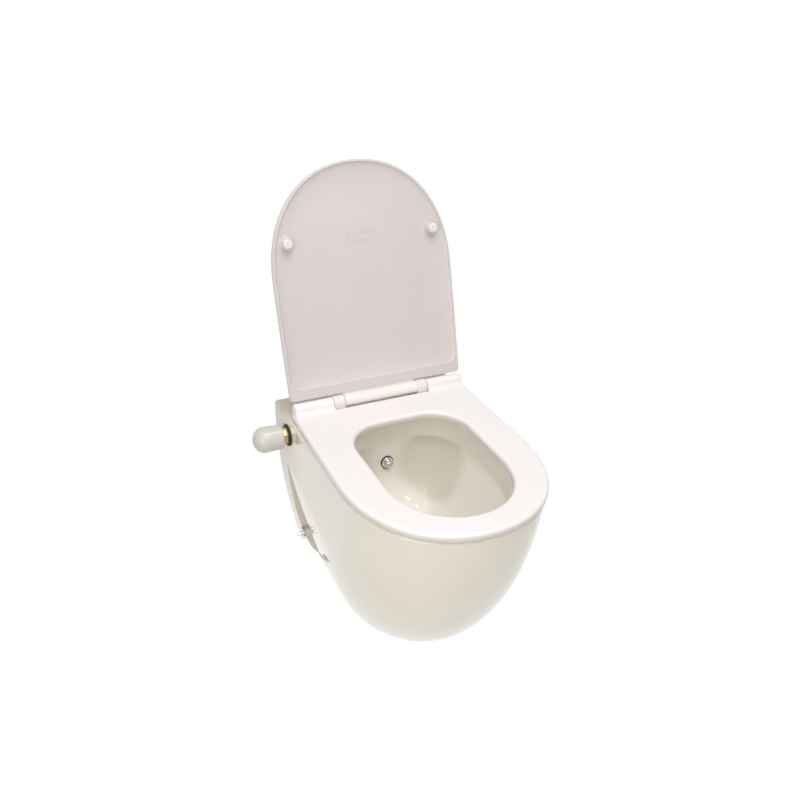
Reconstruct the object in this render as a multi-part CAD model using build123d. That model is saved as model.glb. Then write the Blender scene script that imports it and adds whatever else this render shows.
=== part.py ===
from build123d import *
import math
import os

# Wall-hung toilet pan with a built-in bidet valve and nozzle, and a two-piece soft-closing seat.
# Origin: midway between the two wall-stud holes on the wall face. +Y into the wall, +Z up.

# Pan, depths measured down from the rim
RIM_Z = 95.0
PAN_H = 357.0
PAN_WALL_W = 183.0
PAN_W = 179.0
PAN_L = 433.0
PAN_FLOOR_W = 96.0
PAN_FLOOR_L = 269.0
SIDE_POWER = 2.97
SIDE_ROOT = 1.58
NOSE_POWER = 1.98
NOSE_ROOT = 1.45
RIM_FILLET = 7.0
SHELL_T = 24.0
DECK_T = 16.0
REAR_PLATE_T = 14.0
BOWL_T = 10.0
RIM_BAND_H = 50.0
OPEN_W = 121.0
OPEN_REAR = 54.0
OPEN_FRONT = 397.0
UNDERCUT = 12.0
TRAP_H = 297.0
TRAP_R = 33.0

# Hinge line
AXIS_Y = -88.0
AXIS_Z = 119.0
LID_OPEN = 109.0
SEAT_TOP = -7.35
SEAT_T = 13.4
SEAT_W = 180.0
SEAT_L = 436.5
SEAT_REAR_W = 176.3
CURVE_START = 232.2
NOSE_EXP = 2.17
SEAT_OPEN_W = 110.8
SEAT_OPEN_REAR = 81.4
SEAT_OPEN_FRONT = 388.7
RIDGE_R = 11.0
RIDGE_BLEND = 12.0
NOTCH_W = 98.0
NOTCH_D = 14.5
LID_W = 178.5
LID_RIM = 2.7
LID_T = 14.0
LID_REAR = 14.0
LID_DISH = 8.5
LID_LIP = 4.0
DISH_REAR = 33.0
DISH_RUN = 56.0
LID_BARREL_R = 12.0
LID_BARREL_W = 75.0
KNUCKLE_IN = 75.5
KNUCKLE_OUT = 97.0
KNUCKLE_R = 12.5
PIN_R = 4.0
RUN_FIT = 0.05
PIN_REACH = 9.5
DAMPER_L = 46.0
LID_DAMPER_R = 7.5
SEAT_DAMPER_R = 6.8

# Seat fixing to the pan deck
FIX_X = 77.5
FIX_Y = -64.0
STUD_X = (KNUCKLE_IN + KNUCKLE_OUT) / 2
PLATE_T = 3.0
PLATE_R = 10.5
STUD_R = 4.0
STUD_H = 12.0
GROOVE_R = 3.0
DECK_HOLE_R = 8.0
PLUG_R = 7.9
SCREW_R = 3.0
PLUG_L = 26.0

# Release buttons in the knuckles
BUTTON_W = 9.0
BUTTON_H = 4.6
BUTTON_TRAVEL = 2.5
BUTTON_OUT = 3.0
SLIDE_FIT = 0.2
BUTTON_Z = RIM_Z + PLATE_T + 3.2

# Bidet valve on the left side
VALVE_X = -180.2
VALVE_Y = -69.0
VALVE_Z = 56.0
VALVE_R = 10.4
VALVE_HOLE_R = 11.0
GASKET_R = 21.0
GASKET_T = 4.0
NUT_FLATS = 30.0
NUT_T = 8.0
KNOB_START = 13.5
KNOB_END = 69.0
KNOB_BASE_R = 23.0
KNOB_WIDE_R = 24.8
STEM_R = 4.0
SUPPLY_R = 10.4
SUPPLY_BOSS_R = 11.8
SUPPLY_X = VALVE_X + 54.0
SUPPLY_END_Y = VALVE_Y + 38.0
HOSE_HOLE_R = 18.0

# Nozzle in the rear wall of the bowl
NOZZLE_Z = -13.0
NOZZLE_SEAT_Y = -129.0
NOZZLE_TAIL_R = 7.0
NOZZLE_WALL = 8.5
NOZZLE_TAIL_L = 28.0
NOZZLE_FLANGE_R = 12.0
TUBE_R = 5.0
TUBE_BORE_R = 3.6
BEND_R = 14.0

# Side fixings near the wall
SIDE_Y = -60.0
SIDE_Z = -196.0
SIDE_SEAT_X = 149.0

# Wall connections
STUD_SPACING = 180.0
WALL_HOLE_R = 12.0
WALL_BUSH_BORE = 6.3
INLET_Z = 35.0
INLET_R = 33.5
INLET_BORE = 21.0
SOCKET_R = 27.5
SOCKET_L = 26.0
FLUSH_PIPE_R = 22.5
CHAMBER_Y = -121.0
FLUSH_SLOT_W = 19.0
OUTLET_Z = -100.0
OUTLET_R = 51.0
OUTLET_BORE = 44.0

os.makedirs("parts", exist_ok=True)


def save(shape, name):
    export_step(shape, "parts/" + name + ".step")


def cyl_x(radius, x0, x1, y, z):
    return Pos((x0 + x1) / 2, y, z) * Rot(0, 90, 0) * Cylinder(radius, abs(x1 - x0))


def cyl_y(radius, y0, y1, x, z):
    return Pos(x, (y0 + y1) / 2, z) * Rot(90, 0, 0) * Cylinder(radius, abs(y1 - y0))


def cyl_z(radius, z0, z1, x, y):
    return Pos(x, y, (z0 + z1) / 2) * Cylinder(radius, abs(z1 - z0))


def block(x0, x1, y0, y1, z0, z1):
    return Pos((x0 + x1) / 2, (y0 + y1) / 2, (z0 + z1) / 2) * Box(x1 - x0, y1 - y0, z1 - z0)


def hexagon(flats, thick):
    return extrude(RegularPolygon(flats / math.sqrt(3), 6), thick)


def mirrored(shape):
    return mirror(shape, Plane.YZ)


# Pan shell: D-shaped sections stacked from the rim down
def shell_size(h):
    k = min(h / PAN_H, 1.0)
    w = PAN_FLOOR_W + (PAN_W - PAN_FLOOR_W) * max(1 - k ** SIDE_POWER, 0) ** (1 / SIDE_ROOT)
    l = PAN_FLOOR_L + (PAN_L - PAN_FLOOR_L) * max(1 - k ** NOSE_POWER, 0) ** (1 / NOSE_ROOT)
    rear = PAN_WALL_W - 44.0 * (h / 338.0) ** 2
    if h > 330:
        rear = rear - 25.0 * ((h - 330) / (PAN_H - 330)) ** 2
    start = CURVE_START + (155.0 - CURVE_START) * k
    return rear, w, l, min(start, l - 60)


def side_x(h, y):
    rear, w, l, start = shell_size(h)
    t = min(-y / (start - AXIS_Y), 1.0)
    return w + (rear - w) * (1 - t) ** 2


def shell_wire(h, inset, rear_y, front_inset):
    rear, w, l, start = shell_size(h)
    n = NOSE_EXP - 0.19 * h / PAN_H
    right = []
    for i in range(6):
        y = rear_y + (AXIS_Y - start - rear_y) * i / 6
        right.append((side_x(h, y) - inset, y))
    for i in range(11):
        a = math.pi / 2 * i / 11
        reach = l - start - front_inset
        right.append(((w - inset) * math.cos(a) ** (2 / n), AXIS_Y - start - reach * math.sin(a) ** (2 / n)))
    tip = (0.0, AXIS_Y - l + front_inset)
    points = right + [tip] + [(-x, y) for x, y in reversed(right)]
    z = RIM_Z - h
    curve = Spline(*[(x, y, z) for x, y in points])
    close = Line(curve @ 1, curve @ 0)
    return Wire([curve, close])


def stack(depths, inset, rear_y, front_inset):
    return Solid.make_loft([shell_wire(h, inset, rear_y, front_inset) for h in depths])


shell = Part() + stack([0, 45, 90, 135, 180, 220, 260, 295, 320, 338, 350, PAN_H], 0, 1.0, 0)
top_edges = shell.edges().filter_by(lambda e: abs(e.center().Z - RIM_Z) < 0.01).sort_by(SortBy.LENGTH)
shell = fillet(top_edges[-1], RIM_FILLET)
shell = shell - block(-300, 300, 0, 20, RIM_Z - PAN_H - 50, RIM_Z + 50)


# Bowl: closed rounded sections
def bowl_wire(h, w, rear, front):
    mid = rear + (front - rear) * 0.42
    points = []
    for i in range(33):
        a = 2 * math.pi * i / 32
        c = math.cos(a)
        s = math.sin(a)
        n = 2.25 if i < 16 else 3.0
        reach = front - mid if i < 16 else mid - rear
        x = math.copysign(abs(c) ** (2 / n), c) * w
        d = mid + math.copysign(abs(s) ** (2 / n), s) * reach
        points.append((x, AXIS_Y - d, RIM_Z - h))
    points[16] = (-w, AXIS_Y - mid, RIM_Z - h)
    points[0] = (w, AXIS_Y - mid, RIM_Z - h)
    points[32] = points[0]
    front_half = Spline(*points[:17], tangents=[(0, -1, 0), (0, 1, 0)])
    rear_half = Spline(*points[16:], tangents=[(0, 1, 0), (0, -1, 0)])
    return Wire([front_half, rear_half])


BOWL = [
    (RIM_BAND_H, OPEN_W + 2, OPEN_REAR - UNDERCUT, OPEN_FRONT + 2),
    (105, 116, OPEN_REAR - UNDERCUT, 384),
    (150, 103, 60, 355),
    (190, 87, 92, 318),
    (230, 67, 130, 284),
    (280, 49, 156, 252),
    (320, 38, 168, 234),
    (342, 25, 178, 220),
]


def bowl_rows(grow):
    rows = [(h, w + grow, r - grow, f + grow) for h, w, r, f in BOWL]
    last = rows.pop()
    return rows + [(last[0] + grow, last[1], last[2], last[3])]


def bowl_loft(rows):
    return Part() + Solid.make_loft([bowl_wire(*row) for row in rows])


band = extrude(Face(bowl_wire(RIM_BAND_H, OPEN_W, OPEN_REAR, OPEN_FRONT)), RIM_BAND_H + 5, dir=(0, 0, 1))
bowl_in = bowl_loft(bowl_rows(0)) + band
bowl_top = (8, OPEN_W + UNDERCUT + BOWL_T, OPEN_REAR - UNDERCUT - BOWL_T, OPEN_FRONT + BOWL_T)
bowl_out = bowl_loft([bowl_top] + bowl_rows(BOWL_T))

# Trap way from the sump over the weir to the outlet
trap_path = FilletPolyline(
    (0, AXIS_Y - 204, RIM_Z - TRAP_H),
    (0, AXIS_Y - 104, RIM_Z - TRAP_H),
    (0, AXIS_Y - 38, OUTLET_Z),
    (0, -24, OUTLET_Z),
    radius=44,
)


def trap(radius):
    start = Plane(trap_path @ 0, z_dir=trap_path % 0)
    return sweep(start * Circle(radius), path=trap_path)


trap_in = trap(TRAP_R)
trap_out = trap(TRAP_R + BOWL_T)

# Hollow between shell and bowl
cavity = Part() + stack([DECK_T, 70, 130, 190, 240, 280, 312, 334], SHELL_T, -REAR_PLATE_T, 24)
inlet_out = cyl_y(INLET_R, -160, -2, 0, INLET_Z)
outlet_out = cyl_y(OUTLET_R, -62, -2, 0, OUTLET_Z)
inlet_in = cyl_y(INLET_BORE, CHAMBER_Y, 1, 0, INLET_Z)
flush_slot = block(-FLUSH_SLOT_W, FLUSH_SLOT_W, AXIS_Y - OPEN_REAR, CHAMBER_Y + 6, RIM_Z - RIM_BAND_H - 7,
                   RIM_Z - RIM_BAND_H - 0.5)
outlet_in = cyl_y(OUTLET_BORE, -46, 1, 0, OUTLET_Z)

pan = shell - cavity
pan = pan + bowl_out
pan = pan + trap_out
pan = pan + inlet_out + outlet_out
pan = pan - bowl_in
pan = pan - trap_in
pan = pan - inlet_in - outlet_in
pan = pan - flush_slot
pan = pan - cyl_y(SOCKET_R, -SOCKET_L, 1, 0, INLET_Z)
pan = pan - (cyl_y(OUTLET_R + 12, -46, 1, 0, OUTLET_Z) - cyl_y(OUTLET_R, -50, 2, 0, OUTLET_Z))


# Scooped hand-hold behind the side strip, left and right
def scoop_wire(h, rear_d, front_d, rear_deep, front_deep):
    inner = []
    for i in range(7):
        t = i / 6
        y = AXIS_Y - (rear_d + (front_d - rear_d) * t)
        ease = 1 - (1 - t) ** 2 if front_deep > rear_deep else t
        deep = rear_deep + (front_deep - rear_deep) * ease
        inner.append((side_x(h, y) - deep, y, RIM_Z - h))
    out_x = PAN_WALL_W + 25
    curve = Spline(*inner)
    far = (out_x, inner[-1][1] - 12, RIM_Z - h)
    near = (out_x, inner[0][1] + 24, RIM_Z - h)
    return Wire([curve, Line(inner[-1], far), Line(far, near), Line(near, inner[0])])


SCOOP = [
    (118, -40, 120, 0.4, -1.5),
    (165, -38, 160, 3.5, -0.5),
    (205, -36, 165, 5.5, 2.0),
    (245, -34, 115, 7.0, 5.0),
    (300, -28, 45, 7.0, 6.0),
    (345, -16, 2, 6.0, 5.0),
]
scoop = Part() + Solid.make_loft([scoop_wire(*row) for row in SCOOP])
pan = pan - scoop - mirrored(scoop)

# Holes and machined seats in the pan
for side in (-1, 1):
    pan = pan - cyl_z(DECK_HOLE_R, RIM_Z - 60, RIM_Z + 5, side * FIX_X, FIX_Y)
    pan = pan - cyl_y(WALL_HOLE_R, -40, 5, side * STUD_SPACING / 2, 0)
    pan = pan - cyl_x(9.2, side * 60, side * 200, SIDE_Y, SIDE_Z)
    pan = pan - cyl_x(14.0, side * (SIDE_SEAT_X + 3), side * 200, SIDE_Y, SIDE_Z)
pan = pan - cyl_x(VALVE_HOLE_R, -200, -120, VALVE_Y, VALVE_Z)
pan = pan - cyl_x(GASKET_R + 2, VALVE_X, -200, VALVE_Y, VALVE_Z)
pan = pan - cyl_y(NOZZLE_FLANGE_R + 2, -175, NOZZLE_SEAT_Y, 0, NOZZLE_Z)
pan = pan - cyl_y(NOZZLE_TAIL_R + 0.3, -150, -100, 0, NOZZLE_Z)
pan = pan - cyl_y(14.0, NOZZLE_SEAT_Y + NOZZLE_WALL, -60, 0, NOZZLE_Z)
pan = pan - cyl_y(HOSE_HOLE_R, -REAR_PLATE_T - 2, 5, SUPPLY_X, VALVE_Z)
window = block(-105, 105, -REAR_PLATE_T - 2, 5, RIM_Z - 318, OUTLET_Z - OUTLET_R - 8)
pan = pan - fillet(window.edges().filter_by(Axis.Y), 18)
pan_solids = pan.solids().sort_by(SortBy.VOLUME)
pan = Part() + pan_solids[-1]
save(pan, "pan")


# Seat ring, lying on the rim
def hinged(x, d, z):
    return (x, AXIS_Y - d, AXIS_Z + z)


def lid_outline(half, rear_half, front, rear_d, z):
    right = []
    for i in range(6):
        t = i / 6
        right.append((half - (half - rear_half) * (1 - t) ** 2, rear_d + (CURVE_START - rear_d) * t))
    for i in range(12):
        a = math.pi / 2 * i / 12
        reach = front - CURVE_START
        x = half * math.cos(a) ** (2 / NOSE_EXP)
        right.append((x, CURVE_START + reach * math.sin(a) ** (2 / NOSE_EXP)))
    points = right + [(0.0, front)] + [(-x, d) for x, d in reversed(right)]
    curve = Spline(*[hinged(x, d, z) for x, d in points])
    return Wire([curve, Line(curve @ 1, curve @ 0)])


def upright_edges(shape):
    return shape.edges().filter_by(Axis.Z)


def edges_at(shape, z):
    return shape.edges().filter_by(lambda e: abs(e.center().Z - z) < 0.01)


def seat_hole_wire(z):
    start = 264.0
    corner = 71.0
    reach = SEAT_OPEN_FRONT - start
    right = []
    for i in range(4):
        right.append(((SEAT_OPEN_W - corner) * i / 4, SEAT_OPEN_REAR))
    for i in range(7):
        a = math.pi / 2 * i / 7
        right.append((SEAT_OPEN_W - corner * (1 - math.sin(a)), SEAT_OPEN_REAR + corner * (1 - math.cos(a))))
    for i in range(4):
        right.append((SEAT_OPEN_W, SEAT_OPEN_REAR + corner + (start - SEAT_OPEN_REAR - corner) * i / 4))
    for i in range(10):
        a = math.pi / 2 * i / 10
        right.append((SEAT_OPEN_W * math.cos(a) ** 0.943, start + reach * math.sin(a) ** 0.943))
    points = right + [(0.0, SEAT_OPEN_FRONT)] + [(-x, d) for x, d in reversed(right[1:])]
    return Wire([Edge.make_spline([Vector(*hinged(x, d, z)) for x, d in points], periodic=True)])


seat_top_z = AXIS_Z + SEAT_TOP
seat_low_z = seat_top_z - SEAT_T
seat_face = Face(lid_outline(SEAT_W, SEAT_REAR_W, SEAT_L, -8.0, seat_low_z - AXIS_Z))
seat = extrude(seat_face, SEAT_T, dir=(0, 0, 1))
seat = fillet(upright_edges(seat), 9)
seat = fillet(edges_at(seat, seat_top_z), 6.0)
seat = fillet(edges_at(seat, seat_low_z), 1.5)
seat_hole = extrude(Face(seat_hole_wire(seat_low_z - AXIS_Z - 5)), SEAT_T + 10, dir=(0, 0, 1))
seat = seat - seat_hole
hole_edges = seat.edges().filter_by(lambda e: abs(e.center().Z - seat_top_z) < 0.01)
hole_edges = hole_edges.filter_by(lambda e: e.center().Y < AXIS_Y - 60)
hole_edges = hole_edges.filter_by(lambda e: abs(e.center().X) < SEAT_OPEN_W + 1)
hole_edges = hole_edges.filter_by(lambda e: e.bounding_box().max.X < SEAT_OPEN_W + 1)
seat = fillet(hole_edges, 7.0)

# Raised rear ridges of the seat, blended into its top
blend_d = math.sqrt((RIDGE_R + RIDGE_BLEND) ** 2 - (SEAT_TOP + RIDGE_BLEND) ** 2)
blend_z = SEAT_TOP + RIDGE_BLEND
scale_in = RIDGE_R / (RIDGE_R + RIDGE_BLEND)
touch = (blend_d * scale_in, blend_z * scale_in)
turn = math.atan2(touch[1] - blend_z, touch[0] - blend_d)
middle = (turn - math.pi / 2 + 2 * math.pi) / 2 if turn > 0 else (turn + 2 * math.pi + 1.5 * math.pi) / 2
blend_mid = (blend_d + RIDGE_BLEND * math.cos(middle), blend_z + RIDGE_BLEND * math.sin(middle))
low = SEAT_TOP - 6.0


def ridge_face(x):
    lines = [
        ThreePointArc(hinged(x, -RIDGE_R, 0), hinged(x, -1, math.sqrt(RIDGE_R ** 2 - 1)), hinged(x, *touch)),
        ThreePointArc(hinged(x, *touch), hinged(x, *blend_mid), hinged(x, blend_d, SEAT_TOP)),
        Line(hinged(x, blend_d, SEAT_TOP), hinged(x, blend_d, low)),
        Line(hinged(x, blend_d, low), hinged(x, -7, low - 5)),
        Line(hinged(x, -7, low - 5), hinged(x, -RIDGE_R, 0)),
    ]
    return Face(Wire(lines))


RIDGE_END = SEAT_REAR_W - 2.5
ridge = extrude(ridge_face(NOTCH_W), RIDGE_END - NOTCH_W, dir=(1, 0, 0))
end_edges = ridge.faces().sort_by(Axis.X)[-1].edges()
end_edges = end_edges.filter_by(lambda e: e.center().Z > AXIS_Z + SEAT_TOP + 2)
ridge = fillet(end_edges, 3.0)
seat = seat - block(-NOTCH_W, NOTCH_W, AXIS_Y - NOTCH_D, AXIS_Y + 20, 80, 130)
seat = seat + ridge + mirrored(ridge)
seat_pin_x = NOTCH_W + 32.0
seat = seat - cyl_x(PIN_R + RUN_FIT, -NOTCH_W + 5, -seat_pin_x, AXIS_Y, AXIS_Z)
seat = seat - cyl_x(SEAT_DAMPER_R + RUN_FIT, NOTCH_W - 5, NOTCH_W + DAMPER_L, AXIS_Y, AXIS_Z)
save(seat, "seat")
print("seat", len(seat.solids()), seat.is_valid)

# Pads under the seat
pads = []
for x, d in ((-146, 150), (146, 150), (-105, 365), (105, 365)):
    foot = cyl_z(6.0, RIM_Z, seat_low_z, x, AXIS_Y - d)
    foot = fillet(foot.edges().sort_by(Axis.Z)[0], 1.0)
    pads.append(foot)
save(Compound(children=pads), "seat_pads")

# Lid, drawn closed and then turned up
lid_low = AXIS_Z + LID_RIM
lid_top = lid_low + LID_T
lid = extrude(Face(lid_outline(LID_W, SEAT_REAR_W, SEAT_L, LID_REAR, LID_RIM)), LID_T, dir=(0, 0, 1))
lid = fillet(upright_edges(lid), 6.5)
lid = fillet(edges_at(lid, lid_top), 6.0)
lid = fillet(edges_at(lid, lid_low), 1.5)


def dish_wire(inset, depth):
    half = LID_W - inset
    rear_half = SEAT_REAR_W - inset
    front = SEAT_L - inset
    rear_d = DISH_REAR + inset - LID_LIP
    corner = 20.0 + 0.3 * inset
    right = []
    for i in range(5):
        a = math.pi / 2 * i / 5
        right.append((rear_half - corner * (1 - math.sin(a)), rear_d + corner * (1 - math.cos(a))))
    for i in range(5):
        t = i / 5
        d = rear_d + corner + (CURVE_START - rear_d - corner) * t
        right.append((half - (half - rear_half) * (1 - t) ** 2, d))
    for i in range(12):
        a = math.pi / 2 * i / 12
        x = half * math.cos(a) ** (2 / NOSE_EXP)
        right.append((x, CURVE_START + (front - CURVE_START) * math.sin(a) ** (2 / NOSE_EXP)))
    points = right + [(0.0, front)] + [(-x, d) for x, d in reversed(right)]
    curve = Spline(*[hinged(x, d, LID_RIM + depth) for x, d in points])
    return Wire([curve, Line(curve @ 1, curve @ 0)])


dish_rows = [(LID_LIP - 0.1, -1.0)]
for inset in (0.4, 1.4, 3.0, 5.5, 9.0, 13.5, 19.0, 26.0, 35.0, 45.0, DISH_RUN):
    u = inset / DISH_RUN
    dish_rows.append((LID_LIP + inset, LID_DISH * math.sqrt(1 - (1 - u) ** 2)))
dish = Part() + Solid.make_loft([dish_wire(*row) for row in dish_rows], ruled=True)
lid = lid - dish
web = block(-LID_BARREL_W, LID_BARREL_W, AXIS_Y - LID_REAR - 8, AXIS_Y, AXIS_Z + LID_RIM + 0.3, AXIS_Z + 11.5)
lid = lid + web + cyl_x(LID_BARREL_R, -LID_BARREL_W, LID_BARREL_W, AXIS_Y, AXIS_Z)
dish_z = lid_low + LID_DISH
BUMPER_X = 145.0
BUMPER_D = 299.0
BUMPER_BASE = 4.0
for side in (-1, 1):
    leaf = extrude(Pos(side * BUMPER_X, AXIS_Y - BUMPER_D, dish_z - BUMPER_BASE) * Ellipse(12, 16), 4)
    lid = lid + leaf
badge = extrude(Pos(0, AXIS_Y - 300, dish_z - 0.6) * RectangleRounded(54, 17, 6), 2)
badge = badge - extrude(Pos(0, AXIS_Y - 300, dish_z - 1) * RectangleRounded(51.6, 14.6, 5), 1)
lid = lid + badge
lid_pin_x = LID_BARREL_W - 32.0
lid = lid - cyl_x(PIN_R + RUN_FIT, lid_pin_x, LID_BARREL_W + 5, AXIS_Y, AXIS_Z)
lid = lid - cyl_x(LID_DAMPER_R + RUN_FIT, -LID_BARREL_W - 5, -LID_BARREL_W + DAMPER_L, AXIS_Y, AXIS_Z)
hinge_line = Axis((0, AXIS_Y, AXIS_Z), (1, 0, 0))


def opened(shape):
    return shape.rotate(hinge_line, -LID_OPEN)


save(opened(lid), "lid")
print("lid", len(lid.solids()), lid.is_valid)
bumpers = []
for side in (-1, 1):
    pad = cyl_z(10.0, AXIS_Z + SEAT_TOP + 0.4, dish_z - BUMPER_BASE, side * BUMPER_X, AXIS_Y - BUMPER_D)
    pad = fillet(pad.edges().sort_by(Axis.Z)[0], 5.0)
    bumpers.append(opened(pad))
save(Compound(children=bumpers), "lid_bumpers")


# Hinge knuckles on the deck
def damper(x0, x1, radius):
    body = cyl_x(radius, x0, x1, AXIS_Y, AXIS_Z)
    return body - cyl_x(PIN_R + RUN_FIT, x0 - 1, x0 + (x1 - x0) * 0.8, AXIS_Y, AXIS_Z)


knuckle = cyl_x(KNUCKLE_R, KNUCKLE_IN, KNUCKLE_OUT, AXIS_Y, AXIS_Z)
knuckle_low = RIM_Z + PLATE_T
knuckle = knuckle + block(KNUCKLE_IN, KNUCKLE_OUT, AXIS_Y - KNUCKLE_R, AXIS_Y + KNUCKLE_R,
                          knuckle_low, AXIS_Z)
side_faces = [f for f in knuckle.faces() if abs(abs(f.normal_at().X) - 1) < 0.01]
rim_edges = [e for f in side_faces for e in f.edges() if e.center().Z > knuckle_low + 1]
knuckle = fillet(rim_edges, 2.0)
knuckle = knuckle - cyl_x(PIN_R + RUN_FIT, KNUCKLE_IN - 2, KNUCKLE_IN + PIN_REACH + 0.5, AXIS_Y, AXIS_Z)
knuckle = knuckle - cyl_x(PIN_R + RUN_FIT, KNUCKLE_OUT - PIN_REACH - 0.5, KNUCKLE_OUT + 2, AXIS_Y, AXIS_Z)
knuckle = knuckle - cyl_z(STUD_R + 0.1, knuckle_low - 1, knuckle_low + STUD_H + 0.4, STUD_X, AXIS_Y)
slot_half = BUTTON_W / 2 + SLIDE_FIT
knuckle = knuckle - block(STUD_X - slot_half, STUD_X + slot_half, AXIS_Y - KNUCKLE_R + 1.8,
                          AXIS_Y + KNUCKLE_R + 2, BUTTON_Z - SLIDE_FIT, BUTTON_Z + BUTTON_H + SLIDE_FIT)
save(knuckle, "hinge_knuckle_right")
save(mirrored(knuckle), "hinge_knuckle_left")

# Release buttons: a sliding catch with a keyhole around the stud groove
button_front = AXIS_Y - KNUCKLE_R + 1.8 + BUTTON_TRAVEL + 1.0
button_rear = AXIS_Y + KNUCKLE_R + BUTTON_OUT
button = block(STUD_X - BUTTON_W / 2, STUD_X + BUTTON_W / 2, button_front, button_rear, BUTTON_Z,
               BUTTON_Z + BUTTON_H)
button = fillet(button.faces().sort_by(Axis.Y)[-1].edges(), 0.8)
narrow = GROOVE_R + 0.3
button = button - cyl_z(narrow, BUTTON_Z - 1, BUTTON_Z + BUTTON_H + 1, STUD_X, AXIS_Y)
button = button - block(STUD_X - narrow, STUD_X + narrow, AXIS_Y, AXIS_Y + BUTTON_TRAVEL, BUTTON_Z - 1,
                        BUTTON_Z + BUTTON_H + 1)
button = button - cyl_z(narrow + 0.4, BUTTON_Z - 1, BUTTON_Z + BUTTON_H + 1, STUD_X, AXIS_Y + BUTTON_TRAVEL)
save(button, "release_button_right")
save(mirrored(button), "release_button_left")

# Studs, base plates, screws and rubber plugs, right side first
stud = cyl_z(STUD_R, knuckle_low, knuckle_low + STUD_H, STUD_X, AXIS_Y)
stud = fillet(stud.edges().sort_by(Axis.Z)[-1], 1.2)
groove = cyl_z(STUD_R + 2, BUTTON_Z - 0.6, BUTTON_Z + BUTTON_H + 0.6, STUD_X, AXIS_Y)
groove = groove - cyl_z(GROOVE_R, BUTTON_Z - 0.6, BUTTON_Z + BUTTON_H + 0.6, STUD_X, AXIS_Y)
stud = stud - groove + cyl_z(2.5, RIM_Z, knuckle_low, STUD_X, AXIS_Y)
ends = (cyl_z(PLATE_R, RIM_Z, knuckle_low, STUD_X, AXIS_Y) + cyl_z(PLATE_R, RIM_Z, knuckle_low, FIX_X, FIX_Y))
reach = math.hypot(STUD_X - FIX_X, FIX_Y - AXIS_Y)
lean = math.degrees(math.atan2(FIX_Y - AXIS_Y, FIX_X - STUD_X))
bar = Pos((STUD_X + FIX_X) / 2, (AXIS_Y + FIX_Y) / 2, RIM_Z + PLATE_T / 2) * Rot(0, 0, lean)
plate = ends + bar * Box(reach, 2 * PLATE_R, PLATE_T)
plate = plate - cyl_z(2.5, RIM_Z - 1, knuckle_low + 1, STUD_X, AXIS_Y)
plate = plate - cyl_z(SCREW_R + 0.2, RIM_Z - 1, knuckle_low + 1, FIX_X, FIX_Y)
plug_low = RIM_Z - PLUG_L
screw_low = plug_low - 9.0
screw = cyl_z(SCREW_R, screw_low, knuckle_low, FIX_X, FIX_Y)
head = cyl_z(6.0, knuckle_low, knuckle_low + 3.5, FIX_X, FIX_Y)
head = fillet(head.edges().sort_by(Axis.Z)[-1], 1.5)
head = head - extrude(Pos(FIX_X, FIX_Y, knuckle_low + 1.6) * RegularPolygon(2.6, 6), 4)
screw = screw + head
plug = cyl_z(PLUG_R, plug_low, RIM_Z, FIX_X, FIX_Y)
plug = plug - cyl_z(SCREW_R + 0.2, plug_low - 1, RIM_Z + 1, FIX_X, FIX_Y)
plug_nut = Pos(FIX_X, FIX_Y, plug_low - 7) * hexagon(13, 7)
plug_nut = plug_nut - cyl_z(SCREW_R, plug_low - 8, plug_low + 1, FIX_X, FIX_Y)
for name, piece in (("hinge_studs", stud), ("hinge_plates", plate), ("seat_screws", screw),
                    ("seat_plugs", plug), ("seat_plug_nuts", plug_nut)):
    save(Compound(children=[piece, mirrored(piece)]), name)

# Hinge pins and soft-close dampers
pin_r = cyl_x(PIN_R, lid_pin_x, KNUCKLE_IN + PIN_REACH, AXIS_Y, AXIS_Z)
pin_l = cyl_x(PIN_R, -seat_pin_x, -KNUCKLE_OUT + PIN_REACH, AXIS_Y, AXIS_Z)
lid_shaft = cyl_x(PIN_R, -KNUCKLE_IN - PIN_REACH, -LID_BARREL_W + 30, AXIS_Y, AXIS_Z)
seat_shaft = cyl_x(PIN_R, KNUCKLE_OUT - PIN_REACH, NOTCH_W + 30, AXIS_Y, AXIS_Z)
save(pin_r, "lid_pivot_pin")
save(pin_l, "seat_pivot_pin")
save(lid_shaft, "lid_damper_shaft")
save(seat_shaft, "seat_damper_shaft")
save(damper(-LID_BARREL_W, -LID_BARREL_W + DAMPER_L, LID_DAMPER_R), "lid_damper")
save(damper(NOTCH_W, NOTCH_W + DAMPER_L, SEAT_DAMPER_R), "seat_damper")

# Bidet valve, outward along -X
def out_x(s):
    return VALVE_X - s


def valve_cyl(radius, s0, s1):
    return cyl_x(radius, out_x(s1), out_x(s0), VALVE_Y, VALVE_Z)


def valve_hex(flats, s0, s1):
    return Pos(out_x(s1), VALVE_Y, VALVE_Z) * Rot(0, 90, 0) * hexagon(flats, s1 - s0)


nut_end = GASKET_T + NUT_T
gasket = valve_cyl(GASKET_R, 0, GASKET_T) - valve_cyl(VALVE_R, -1, GASKET_T + 1)
gasket_rims = gasket.edges().filter_by(GeomType.CIRCLE).filter_by(lambda e: abs(e.radius - GASKET_R) < 0.1)
gasket = fillet(gasket_rims, 0.8)
locknut = valve_hex(NUT_FLATS, GASKET_T, nut_end) & valve_cyl(NUT_FLATS / 2 * 1.11, GASKET_T, nut_end)
locknut = locknut - valve_cyl(VALVE_R, 0, nut_end + 1)
stem_tail = -52.0
body = valve_cyl(VALVE_R, -66, nut_end)
body = body + cyl_y(SUPPLY_BOSS_R, VALVE_Y, VALVE_Y + 14, SUPPLY_X, VALVE_Z)
body = body + cyl_y(SUPPLY_R, VALVE_Y + 10, SUPPLY_END_Y, SUPPLY_X, VALVE_Z)
body = body - cyl_y(6.0, VALVE_Y + 6, SUPPLY_END_Y + 2, SUPPLY_X, VALVE_Z)
body = body - valve_cyl(STEM_R + RUN_FIT, stem_tail - 0.5, nut_end + 1)
body = body - valve_cyl(TUBE_R, -67, -60)
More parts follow.
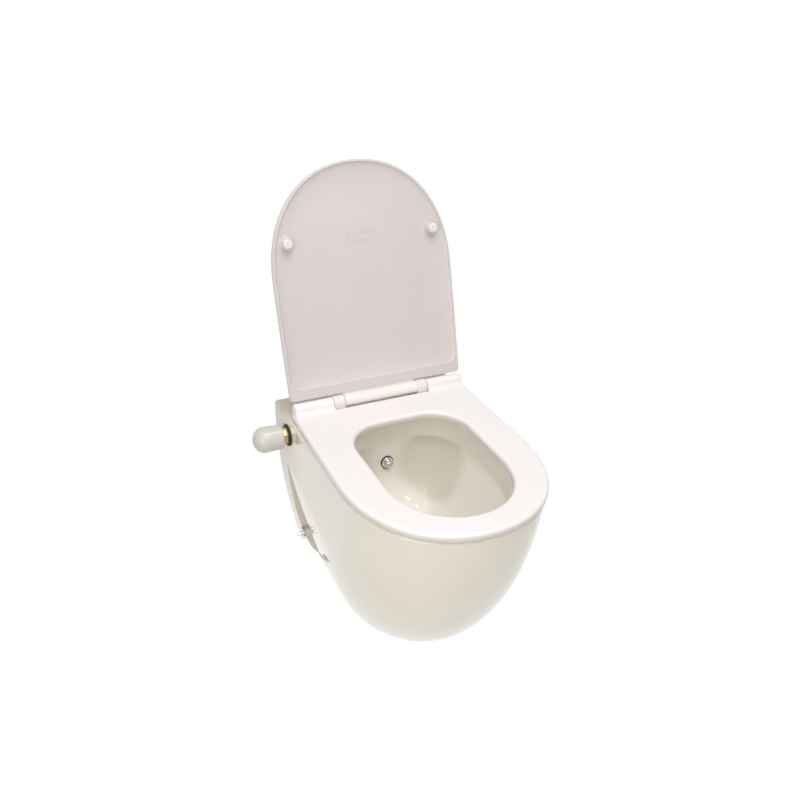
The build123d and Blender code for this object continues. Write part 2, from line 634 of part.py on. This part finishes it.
backnut = valve_hex(28, -SHELL_T - 7.4, -SHELL_T + 0.1) - valve_cyl(VALVE_R, -40, 0)
save(gasket, "valve_gasket")
save(locknut, "valve_locknut")
save(body, "valve_body")
save(backnut, "valve_backnut")
stem = valve_cyl(STEM_R, stem_tail, KNOB_START + 14)
save(stem, "valve_stem")
knob_s = [
    (KNOB_START, KNOB_BASE_R - 1.5), (KNOB_START + 1.5, KNOB_BASE_R), (30, KNOB_BASE_R + 0.9),
    (42, KNOB_WIDE_R - 0.1), (50, KNOB_WIDE_R - 0.3), (57, KNOB_WIDE_R - 2.6), (62.5, KNOB_WIDE_R - 6.8),
    (66.8, KNOB_WIDE_R - 13.5), (KNOB_END, 0.0),
]
profile = Spline(*[(r, s) for s, r in knob_s[1:]], tangents=[(0.05, 1), (-1, 0)])
knob_lines = [
    Line((0, KNOB_START), (knob_s[0][1], KNOB_START)),
    Line((knob_s[0][1], KNOB_START), (KNOB_BASE_R, KNOB_START + 1.5)),
    profile,
    Line((0, KNOB_END), (0, KNOB_START)),
]
knob = revolve(make_face(Curve() + knob_lines), Axis.Y)
knob = knob - Pos(0, KNOB_START + 7, 0) * Rot(90, 0, 0) * Cylinder(STEM_R, 14)
knob = knob - Pos(0, KNOB_START + 2.5, 0) * Rot(90, 0, 0) * (Cylinder(18.5, 5) - Cylinder(8, 5))
knob = Pos(VALVE_X, VALVE_Y, VALVE_Z) * Rot(0, 0, 90) * knob
save(knob, "knob")

# Water tube from the valve to the nozzle
tube_start = (out_x(-60.5), VALVE_Y, VALVE_Z)
tube_path = FilletPolyline(
    tube_start,
    (-62, VALVE_Y, VALVE_Z),
    (-62, VALVE_Y, NOZZLE_Z),
    (0, VALVE_Y, NOZZLE_Z),
    (0, NOZZLE_SEAT_Y + NOZZLE_TAIL_L - 5, NOZZLE_Z),
    radius=BEND_R,
)
tube_plane = Plane(tube_path @ 0, z_dir=tube_path % 0)
tube = sweep(tube_plane * (Circle(TUBE_R) - Circle(TUBE_BORE_R)), path=tube_path)
print("tube", tube.volume, math.pi * (TUBE_R ** 2 - TUBE_BORE_R ** 2) * tube_path.length)
save(tube, "feed_tube")
tube_nut_a = valve_hex(17, -76, -66) - valve_cyl(TUBE_R, -80, -60)
tube_nut_b = Pos(0, NOZZLE_SEAT_Y + NOZZLE_TAIL_L + 8, NOZZLE_Z) * Rot(90, 0, 0) * hexagon(17, 8)
tube_nut_b = tube_nut_b - cyl_y(TUBE_R, NOZZLE_SEAT_Y + 20, -60, 0, NOZZLE_Z)
save(Compound(children=[tube_nut_a, tube_nut_b]), "tube_nuts")

# Nozzle
seat_y = NOZZLE_SEAT_Y
seal = cyl_y(NOZZLE_FLANGE_R + 1, seat_y - 2, seat_y, 0, NOZZLE_Z)
seal = seal - cyl_y(NOZZLE_TAIL_R, seat_y - 3, seat_y + 1, 0, NOZZLE_Z)
flange = cyl_y(NOZZLE_FLANGE_R, seat_y - 5, seat_y - 2, 0, NOZZLE_Z)
flange = fillet(flange.edges().sort_by(Axis.Y)[0], 1.4)
spout = cyl_y(7.6, seat_y - 15, seat_y - 4, 0, NOZZLE_Z)
spout = fillet(spout.edges().sort_by(Axis.Y)[0], 3.0)
nozzle = flange + spout + cyl_y(NOZZLE_TAIL_R, seat_y - 3, seat_y + NOZZLE_TAIL_L, 0, NOZZLE_Z)
nozzle = nozzle - cyl_y(TUBE_R, seat_y + NOZZLE_TAIL_L - 5.5, seat_y + 40, 0, NOZZLE_Z)
nozzle = nozzle - cyl_y(3.0, seat_y - 9, seat_y + 40, 0, NOZZLE_Z)
nozzle = nozzle - cyl_y(4.2, seat_y - 16, seat_y - 11, 0, NOZZLE_Z)
rose = cyl_y(4.2, seat_y - 14.2, seat_y - 11, 0, NOZZLE_Z)
for i in range(5):
    a = 2 * math.pi * i / 5
    rose = rose - cyl_y(0.6, seat_y - 16, seat_y - 10, 2.4 * math.cos(a), NOZZLE_Z + 2.4 * math.sin(a))
back_y = NOZZLE_SEAT_Y + NOZZLE_WALL
nozzle_nut = Pos(0, back_y + 7, NOZZLE_Z) * Rot(90, 0, 0) * hexagon(22, 7)
nozzle_nut = nozzle_nut - cyl_y(NOZZLE_TAIL_R, back_y - 1, back_y + 8, 0, NOZZLE_Z)
save(nozzle, "nozzle")
save(seal, "nozzle_seal")
save(rose, "nozzle_rose")
save(nozzle_nut, "nozzle_backnut")

# Side fixings: plastic sleeve, chrome washer and pointed cap screw
sleeve = cyl_x(9.0, SIDE_SEAT_X - 34, SIDE_SEAT_X + 3, SIDE_Y, SIDE_Z)
sleeve = sleeve - cyl_x(3.5, SIDE_SEAT_X - 40, SIDE_SEAT_X + 5, SIDE_Y, SIDE_Z)
washer = cyl_x(12.5, SIDE_SEAT_X + 3, SIDE_SEAT_X + 5.5, SIDE_Y, SIDE_Z)
washer = washer - cyl_x(3.5, SIDE_SEAT_X + 2, SIDE_SEAT_X + 8, SIDE_Y, SIDE_Z)
bolt = cyl_x(3.5, SIDE_SEAT_X - 30, SIDE_SEAT_X + 5.5, SIDE_Y, SIDE_Z)
base_x = SIDE_SEAT_X + 5.5
cap_line = [
    Line((0, 0), (5.5, 0)),
    Spline((5.5, 0), (5.0, 4), (3.4, 9.5), (1.2, 13.2), (0, 14), tangents=[(0, 1), (-1, 0)]),
    Line((0, 14), (0, 0)),
]
cap = revolve(make_face(Curve() + cap_line), Axis.Y)
cap = Pos(base_x, SIDE_Y, SIDE_Z) * Rot(0, 0, -90) * cap
for name, piece in (("side_sleeves", sleeve), ("side_washers", washer), ("side_screws", bolt + cap)):
    save(Compound(children=[piece, mirrored(piece)]), name)

# Wall stud bushes and the flush inlet seal
bush = cyl_y(WALL_HOLE_R, -REAR_PLATE_T, 0, STUD_SPACING / 2, 0)
bush = bush + cyl_y(WALL_HOLE_R + 4, -REAR_PLATE_T - 4, -REAR_PLATE_T, STUD_SPACING / 2, 0)
bush = bush - cyl_y(WALL_BUSH_BORE, -30, 5, STUD_SPACING / 2, 0)
save(Compound(children=[bush, mirrored(bush)]), "wall_bushes")
inlet_seal = cyl_y(SOCKET_R, -SOCKET_L, 0, 0, INLET_Z) - cyl_y(FLUSH_PIPE_R, -SOCKET_L - 2, 2, 0, INLET_Z)
save(inlet_seal, "inlet_seal")
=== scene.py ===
import math

import bpy
from mathutils import Matrix, Vector

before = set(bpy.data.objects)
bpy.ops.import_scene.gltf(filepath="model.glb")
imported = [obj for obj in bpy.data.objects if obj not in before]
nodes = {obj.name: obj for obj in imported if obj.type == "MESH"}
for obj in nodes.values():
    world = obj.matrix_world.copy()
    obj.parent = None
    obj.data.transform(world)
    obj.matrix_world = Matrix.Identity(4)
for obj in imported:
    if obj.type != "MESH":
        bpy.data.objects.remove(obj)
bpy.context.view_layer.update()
scene = bpy.context.scene
print("frame loaded", len(nodes))


# Shader helpers
def rgb(red, green, blue):
    def linear(value):
        value = value / 255
        return value / 12.92 if value <= 0.04045 else ((value + 0.055) / 1.055) ** 2.4
    return (linear(red), linear(green), linear(blue), 1.0)


def newGroup(name, outputs, inputs=()):
    group = bpy.data.node_groups.new(name, "ShaderNodeTree")
    for label, kind, value in inputs:
        socket = group.interface.new_socket(label, in_out="INPUT", socket_type=kind)
        socket.default_value = value
    for label, kind in outputs:
        group.interface.new_socket(label, in_out="OUTPUT", socket_type=kind)
    return group, group.nodes.new("NodeGroupInput"), group.nodes.new("NodeGroupOutput")


def setInput(tree, node, socket, source):
    if isinstance(source, bpy.types.NodeSocket):
        tree.links.new(source, node.inputs[socket])
    else:
        node.inputs[socket].default_value = source


def addNode(tree, kind, links=(), **values):
    node = tree.nodes.new(kind)
    for key, value in values.items():
        setattr(node, key, value)
    for socket, source in links:
        setInput(tree, node, socket, source)
    return node


def placeGroup(tree, group):
    return addNode(tree, "ShaderNodeGroup", node_tree=group)


def noise(tree, point, scale, detail, rough):
    links = [("Vector", point), ("Scale", scale), ("Detail", detail), ("Roughness", rough)]
    return addNode(tree, "ShaderNodeTexNoise", links).outputs["Fac"]


def spread(tree, value, fromLow, fromHigh, toLow, toHigh):
    links = [("Value", value), ("From Min", fromLow), ("From Max", fromHigh), ("To Min", toLow), ("To Max", toHigh)]
    return addNode(tree, "ShaderNodeMapRange", links, clamp=True).outputs["Result"]


def bump(tree, height, distance, normal=None):
    links = [("Height", height), ("Distance", distance), ("Strength", 1.0)]
    if normal:
        links.append(("Normal", normal))
    return addNode(tree, "ShaderNodeBump", links).outputs[0]


def mixColour(tree, factor, first, second):
    links = [(0, factor), (6, first), (7, second)]
    return addNode(tree, "ShaderNodeMix", links, data_type="RGBA").outputs[2]


def mixValue(tree, factor, first, second):
    links = [(0, factor), (2, first), (3, second)]
    return addNode(tree, "ShaderNodeMix", links, data_type="FLOAT").outputs[0]


def maths(tree, operation, first, second=0.0):
    return addNode(tree, "ShaderNodeMath", [(0, first), (1, second)], operation=operation).outputs[0]


def squared(tree, value, middle, reach):
    return maths(tree, "POWER", maths(tree, "DIVIDE", maths(tree, "SUBTRACT", value, middle), reach), 2.0)


# Surface: two tones drifting over the piece, a roughness drift and a fine relief
def makeSurfaceDrift():
    group, groupIn, groupOut = newGroup(
        "surfaceDrift",
        [("Colour", "NodeSocketColor"), ("Roughness", "NodeSocketFloat"), ("Normal", "NodeSocketVector")],
        [("Light Tone", "NodeSocketColor", (1, 1, 1, 1)), ("Deep Tone", "NodeSocketColor", (1, 1, 1, 1)),
         ("Drift Scale", "NodeSocketFloat", 6.0), ("Rough Low", "NodeSocketFloat", 0.1),
         ("Rough High", "NodeSocketFloat", 0.2), ("Grain Scale", "NodeSocketFloat", 300.0),
         ("Grain Height", "NodeSocketFloat", 0.0), ("Wave Scale", "NodeSocketFloat", 20.0),
         ("Wave Height", "NodeSocketFloat", 0.0)])
    smudgeScale = 28.0
    asked = groupIn.outputs
    point = addNode(group, "ShaderNodeTexCoord").outputs["Object"]
    drift = noise(group, point, asked["Drift Scale"], 3.0, 0.6)
    speck = noise(group, point, asked["Grain Scale"], 2.0, 0.6)
    wave = noise(group, point, asked["Wave Scale"], 1.0, 0.4)
    smudge = spread(group, noise(group, point, smudgeScale, 4.0, 0.65), 0.35, 0.7, 0.0, 1.0)
    tone = mixColour(group, spread(group, drift, 0.3, 0.7, 0.0, 1.0), asked["Light Tone"], asked["Deep Tone"])
    rough = spread(group, smudge, 0.0, 1.0, asked["Rough Low"], asked["Rough High"])
    relief = bump(group, speck, asked["Grain Height"], bump(group, wave, asked["Wave Height"]))
    group.links.new(tone, groupOut.inputs["Colour"])
    group.links.new(rough, groupOut.inputs["Roughness"])
    group.links.new(relief, groupOut.inputs["Normal"])
    return group


surfaceDrift = makeSurfaceDrift()

# Tones are 0 to 255, grain and waves are a scale and a height in metres
finishes = {
    "china": {"light": (231, 227, 217), "deep": (226, 221, 209), "rough": (0.03, 0.06), "waves": (9.0, 0.0004),
              "plain": {"Coat Weight": 0.5, "Coat Roughness": 0.015, "IOR": 1.52}},
    "seatResin": {"light": (234, 231, 232), "deep": (231, 228, 229), "rough": (0.16, 0.24),
                  "waves": (14.0, 0.0002), "plain": {"IOR": 1.5}},
    # painted shade: the lid's resin darkened below the seat's white, standing in for the shade on its inner face; the
    # outer skin and hinge barrel get the resin's own tone back
    "lidResinShaded": {"light": (205, 199, 199), "deep": (201, 195, 195), "rough": (0.34, 0.46),
                 "grain": (900.0, 0.00006), "plain": {"IOR": 1.48}},
    "hingeResin": {"light": (226, 222, 220), "deep": (222, 217, 214), "rough": (0.18, 0.28),
                   "plain": {"IOR": 1.48}},
    "knobResin": {"light": (204, 201, 195), "deep": (198, 194, 186), "rough": (0.05, 0.1), "plain": {"IOR": 1.5}},
    "blackRubber": {"light": (26, 25, 25), "deep": (18, 17, 17), "rough": (0.5, 0.7), "grain": (700.0, 0.00005)},
    "paleRubber": {"light": (222, 219, 217), "deep": (215, 211, 208), "rough": (0.45, 0.6),
                   "grain": (700.0, 0.00004)},
    "brass": {"light": (220, 206, 172), "deep": (190, 168, 128), "rough": (0.16, 0.3), "drift": 60.0,
              "grain": (900.0, 0.00004), "plain": {"Metallic": 1.0}},
    "chrome": {"light": (222, 223, 226), "deep": (214, 216, 220), "rough": (0.03, 0.1), "plain": {"Metallic": 1.0}},
    "steel": {"light": (176, 177, 178), "deep": (160, 161, 163), "rough": (0.25, 0.4), "grain": (1200.0, 0.00003),
              "plain": {"Metallic": 1.0}},
    "nylon": {"light": (226, 223, 216), "deep": (218, 214, 205), "rough": (0.4, 0.55), "grain": (600.0, 0.00004)},
}


def makeLook(name, finish):
    material = bpy.data.materials.new(name)
    material.use_nodes = True
    tree = material.node_tree
    shader = tree.nodes["Principled BSDF"]
    node = placeGroup(tree, surfaceDrift)
    grain = finish.get("grain", (300.0, 0.0))
    waves = finish.get("waves", (20.0, 0.0))
    values = {"Light Tone": rgb(*finish["light"]), "Deep Tone": rgb(*finish["deep"]),
              "Rough Low": finish["rough"][0], "Rough High": finish["rough"][1],
              "Drift Scale": finish.get("drift", 6.0), "Grain Scale": grain[0], "Grain Height": grain[1],
              "Wave Scale": waves[0], "Wave Height": waves[1]}
    for socket, value in values.items():
        node.inputs[socket].default_value = value
    for socket, output in (("Base Color", "Colour"), ("Roughness", "Roughness"), ("Normal", "Normal")):
        tree.links.new(node.outputs[output], shader.inputs[socket])
    for socket, value in finish.get("plain", {}).items():
        shader.inputs[socket].default_value = value
    return material


looks = {name: makeLook(name, finish) for name, finish in finishes.items()}
print("finishes made", len(looks))

# Zones in the frame's metres: painted light inside the bowl, painted shade near the wall and on the seat's low edge,
# and the resin's own tone on the lid's outer skin and hinge barrel
# painted light: the china lighter inside the bowl, below the rim band
bowlLight = {"halfWidth": 0.150, "halfLength": 0.202, "middleY": -0.300, "floorZ": -0.25, "rimZ": 0.08,
        "floorShare": 0.45, "bandZ": (0.040, 0.047), "tone": (247, 244, 238)}
# painted shade: the china darker and creamier towards the wall
wallShade = {"fadeY": (-0.14, -0.03), "tone": (198, 189, 172)}
barrel = {"y": -0.088, "z": 0.119, "radius": 0.0125, "tone": (230, 226, 224)}
# the lid's outer skin in the resin's own tone, over the painted shade of the lid's base tone
lidSkin = {"openAngle": 109, "turn": (-0.55, 0.25), "tone": (232, 229, 230), "rough": 0.2}
# painted shade and painted reflection: the seat's low edge darker and creamier, its underside left white
seatEdgeShade = {"fadeZ": (0.0995, 0.1085), "turn": (-0.9, -0.5), "tone": (212, 204, 196)}


# mask of the painted light inside the bowl
def lightInsideBowl(tree, spot, facing):
    depth = spread(tree, spot["Z"], bowlLight["floorZ"], bowlLight["rimZ"], bowlLight["floorShare"], 1.0)
    across = maths(tree, "ADD", squared(tree, spot["X"], 0.0, bowlLight["halfWidth"]),
                   squared(tree, spot["Y"], bowlLight["middleY"], bowlLight["halfLength"]))
    reach = maths(tree, "DIVIDE", across, maths(tree, "POWER", depth, 2.0))
    return maths(tree, "MULTIPLY", spread(tree, reach, 0.95, 1.05, 1.0, 0.0),
                 spread(tree, spot["Z"], *bowlLight["bandZ"], 1.0, 0.0))


# mask of the painted shade near the wall
def shadeNearWall(tree, spot, facing):
    return spread(tree, spot["Y"], *wallShade["fadeY"], 0.0, 1.0)


def nearHinge(tree, spot, facing):
    across = maths(tree, "ADD", squared(tree, spot["Y"], barrel["y"], barrel["radius"]),
                   squared(tree, spot["Z"], barrel["z"], barrel["radius"]))
    return spread(tree, across, 1.0, 1.15, 1.0, 0.0)


def outerSkin(tree, spot, facing):
    lean = math.radians(lidSkin["openAngle"])
    inward = maths(tree, "ADD", maths(tree, "MULTIPLY", facing["Y"], -math.sin(lean)),
                   maths(tree, "MULTIPLY", facing["Z"], -math.cos(lean)))
    return spread(tree, inward, *lidSkin["turn"], 1.0, 0.0)


# mask of the painted shade and reflection on the seat's low edge
def shadeOnLowEdge(tree, spot, facing):
    return maths(tree, "MULTIPLY", spread(tree, spot["Z"], *seatEdgeShade["fadeZ"], 1.0, 0.0),
                 spread(tree, facing["Z"], *seatEdgeShade["turn"], 0.0, 1.0))


def makeMask(build):
    group, _, groupOut = newGroup(build.__name__, [("Mask", "NodeSocketFloat")])
    coords = addNode(group, "ShaderNodeTexCoord").outputs
    spot = addNode(group, "ShaderNodeSeparateXYZ", [(0, coords["Object"])]).outputs
    facing = addNode(group, "ShaderNodeSeparateXYZ", [(0, coords["Normal"])]).outputs
    group.links.new(build(group, spot, facing), groupOut.inputs["Mask"])
    return group


def tintZone(look, build, zone):
    tree = looks[look].node_tree
    shader = tree.nodes["Principled BSDF"]
    mask = placeGroup(tree, makeMask(build)).outputs["Mask"]
    base = shader.inputs["Base Color"].links[0].from_socket
    tree.links.new(mixColour(tree, mask, base, rgb(*zone["tone"])), shader.inputs["Base Color"])
    if "rough" in zone:
        rough = shader.inputs["Roughness"].links[0].from_socket
        tree.links.new(mixValue(tree, mask, rough, zone["rough"]), shader.inputs["Roughness"])


# painted shade near the wall, painted light inside the bowl, painted shade on the seat's low edge; the lid's outer
# skin and hinge barrel take the resin's own tone
tintZone("china", shadeNearWall, wallShade)
tintZone("china", lightInsideBowl, bowlLight)
tintZone("lidResinShaded", outerSkin, lidSkin)
tintZone("lidResinShaded", nearHinge, barrel)
tintZone("seatResin", shadeOnLowEdge, seatEdgeShade)

dress = {
    "china": ["pan"],
    "seatResin": ["seat"],
    "lidResinShaded": ["lid"],
    "hingeResin": ["hinge_knuckle_left", "hinge_knuckle_right", "release_button_left", "release_button_right"],
    "knobResin": ["knob"],
    "blackRubber": ["valve_gasket", "nozzle_seal", "seat_plugs", "inlet_seal"],
    "paleRubber": ["seat_pads", "lid_bumpers"],
    "brass": ["valve_locknut", "valve_body", "valve_backnut", "valve_stem", "tube_nuts", "nozzle_backnut",
              "seat_plug_nuts"],
    "chrome": ["nozzle", "nozzle_rose", "side_washers", "side_screws"],
    "steel": ["hinge_studs", "hinge_plates", "seat_screws", "lid_pivot_pin", "seat_pivot_pin",
              "lid_damper_shaft", "seat_damper_shaft"],
    "nylon": ["lid_damper", "seat_damper", "feed_tube", "side_sleeves", "wall_bushes"],
}
for look, names in dress.items():
    for name in names:
        slots = nodes[name].data.materials
        slots.clear()
        slots.append(looks[look])
print("materials set")

# Floor and room light: white where it is seen, plain and pale where it lights the pieces
studio = {"floorZ": -0.8, "floorHalf": 9, "floorTone": (238, 236, 232), "roomTone": (251, 250, 247),
          "roomStrength": 0.47}


def seenDirectly(tree):
    rays = addNode(tree, "ShaderNodeLightPath").outputs
    sharp = maths(tree, "MAXIMUM", rays["Is Glossy Ray"], rays["Is Transmission Ray"])
    return maths(tree, "MAXIMUM", rays["Is Camera Ray"], sharp)


def whiteWhereSeen(tree, lit, seen, output):
    links = [(0, seenDirectly(tree)), (1, lit.outputs[0]), (2, seen.outputs[0])]
    joined = addNode(tree, "ShaderNodeMixShader", links)
    addNode(tree, output, [(0, joined.outputs[0])])


half = studio["floorHalf"]
floorMesh = bpy.data.meshes.new("floor")
floorMesh.from_pydata([(-half, -half, 0), (half, -half, 0), (half, half, 0), (-half, half, 0)], [], [(0, 1, 2, 3)])
floor = bpy.data.objects.new("floor", floorMesh)
floor.location.z = studio["floorZ"]
scene.collection.objects.link(floor)
floorLook = bpy.data.materials.new("floorLook")
floorLook.use_nodes = True
tree = floorLook.node_tree
tree.nodes.clear()
pale = addNode(tree, "ShaderNodeBsdfDiffuse", [("Color", rgb(*studio["floorTone"]))])
white = addNode(tree, "ShaderNodeEmission", [("Color", (1, 1, 1, 1)), ("Strength", 1.0)])
whiteWhereSeen(tree, pale, white, "ShaderNodeOutputMaterial")
floorMesh.materials.append(floorLook)

world = bpy.data.worlds.new("studio")
scene.world = world
world.use_nodes = True
tree = world.node_tree
tree.nodes.clear()
room = [("Color", rgb(*studio["roomTone"])), ("Strength", studio["roomStrength"])]
soft = addNode(tree, "ShaderNodeBackground", room)
white = addNode(tree, "ShaderNodeBackground", [("Color", (1, 1, 1, 1)), ("Strength", 1.0)])
whiteWhereSeen(tree, soft, white, "ShaderNodeOutputWorld")

# Lamps: two large soft ones, and small ones that the bowl's glaze mirrors as dots
lamps = {
    "top": {"place": (-0.1, -0.8, 2.3), "aim": (0.0, -0.3, 0.0), "size": 1.7, "power": 34.0, "tone": (255, 251, 248)},
    "left": {"place": (-1.5, -1.45, 0.7), "aim": (0.0, -0.3, -0.05), "size": 1.2, "power": 12.5,
             "tone": (255, 251, 246)},
}
dots = {"aim": (0.03, -0.17, -0.07), "size": 0.04, "power": 0.6, "tone": (255, 250, 242)}
dotPlaces = [(-0.52, -2.1, 1.02), (-0.71, -1.77, 1.21), (0.66, -1.94, 1.06), (0.51, -1.75, 1.37),
             (0.42, -1.72, 1.42), (0.09, -1.61, 1.58), (-0.07, -1.6, 1.59)]
for index, place in enumerate(dotPlaces):
    lamps["spot%d" % index] = {"place": place, **dots}
for name, spec in lamps.items():
    lamp = bpy.data.lights.new(name, "AREA")
    lamp.size = spec["size"]
    lamp.energy = spec["power"]
    lamp.color = rgb(*spec["tone"])[:3]
    holder = bpy.data.objects.new(name, lamp)
    holder.location = spec["place"]
    toward = Vector(spec["aim"]) - Vector(spec["place"])
    holder.rotation_euler = toward.to_track_quat("-Z", "Y").to_euler()
    scene.collection.objects.link(holder)

# Camera at the photograph's place
view = {"place": (-0.58718, -1.33874, 0.90209), "right": (0.90245867, -0.42885196, 0.0406737),
        "up": (0.1825335, 0.46621572, 0.86563527), "ahead": (0.3901921, 0.77377574, -0.49902026),
        "sensor": 36.0, "lens": 37.14, "farthest": 50}
camData = bpy.data.cameras.new("camera")
camData.sensor_width = view["sensor"]
camData.lens = view["lens"]
camData.clip_end = view["farthest"]
camera = bpy.data.objects.new("camera", camData)
scene.collection.objects.link(camera)
turn = Matrix((Vector(view["right"]), Vector(view["up"]), -Vector(view["ahead"]))).transposed().to_4x4()
turn.translation = Vector(view["place"])
camera.matrix_world = turn
scene.camera = camera
scene.view_settings.view_transform = "Standard"
print("stage ready")
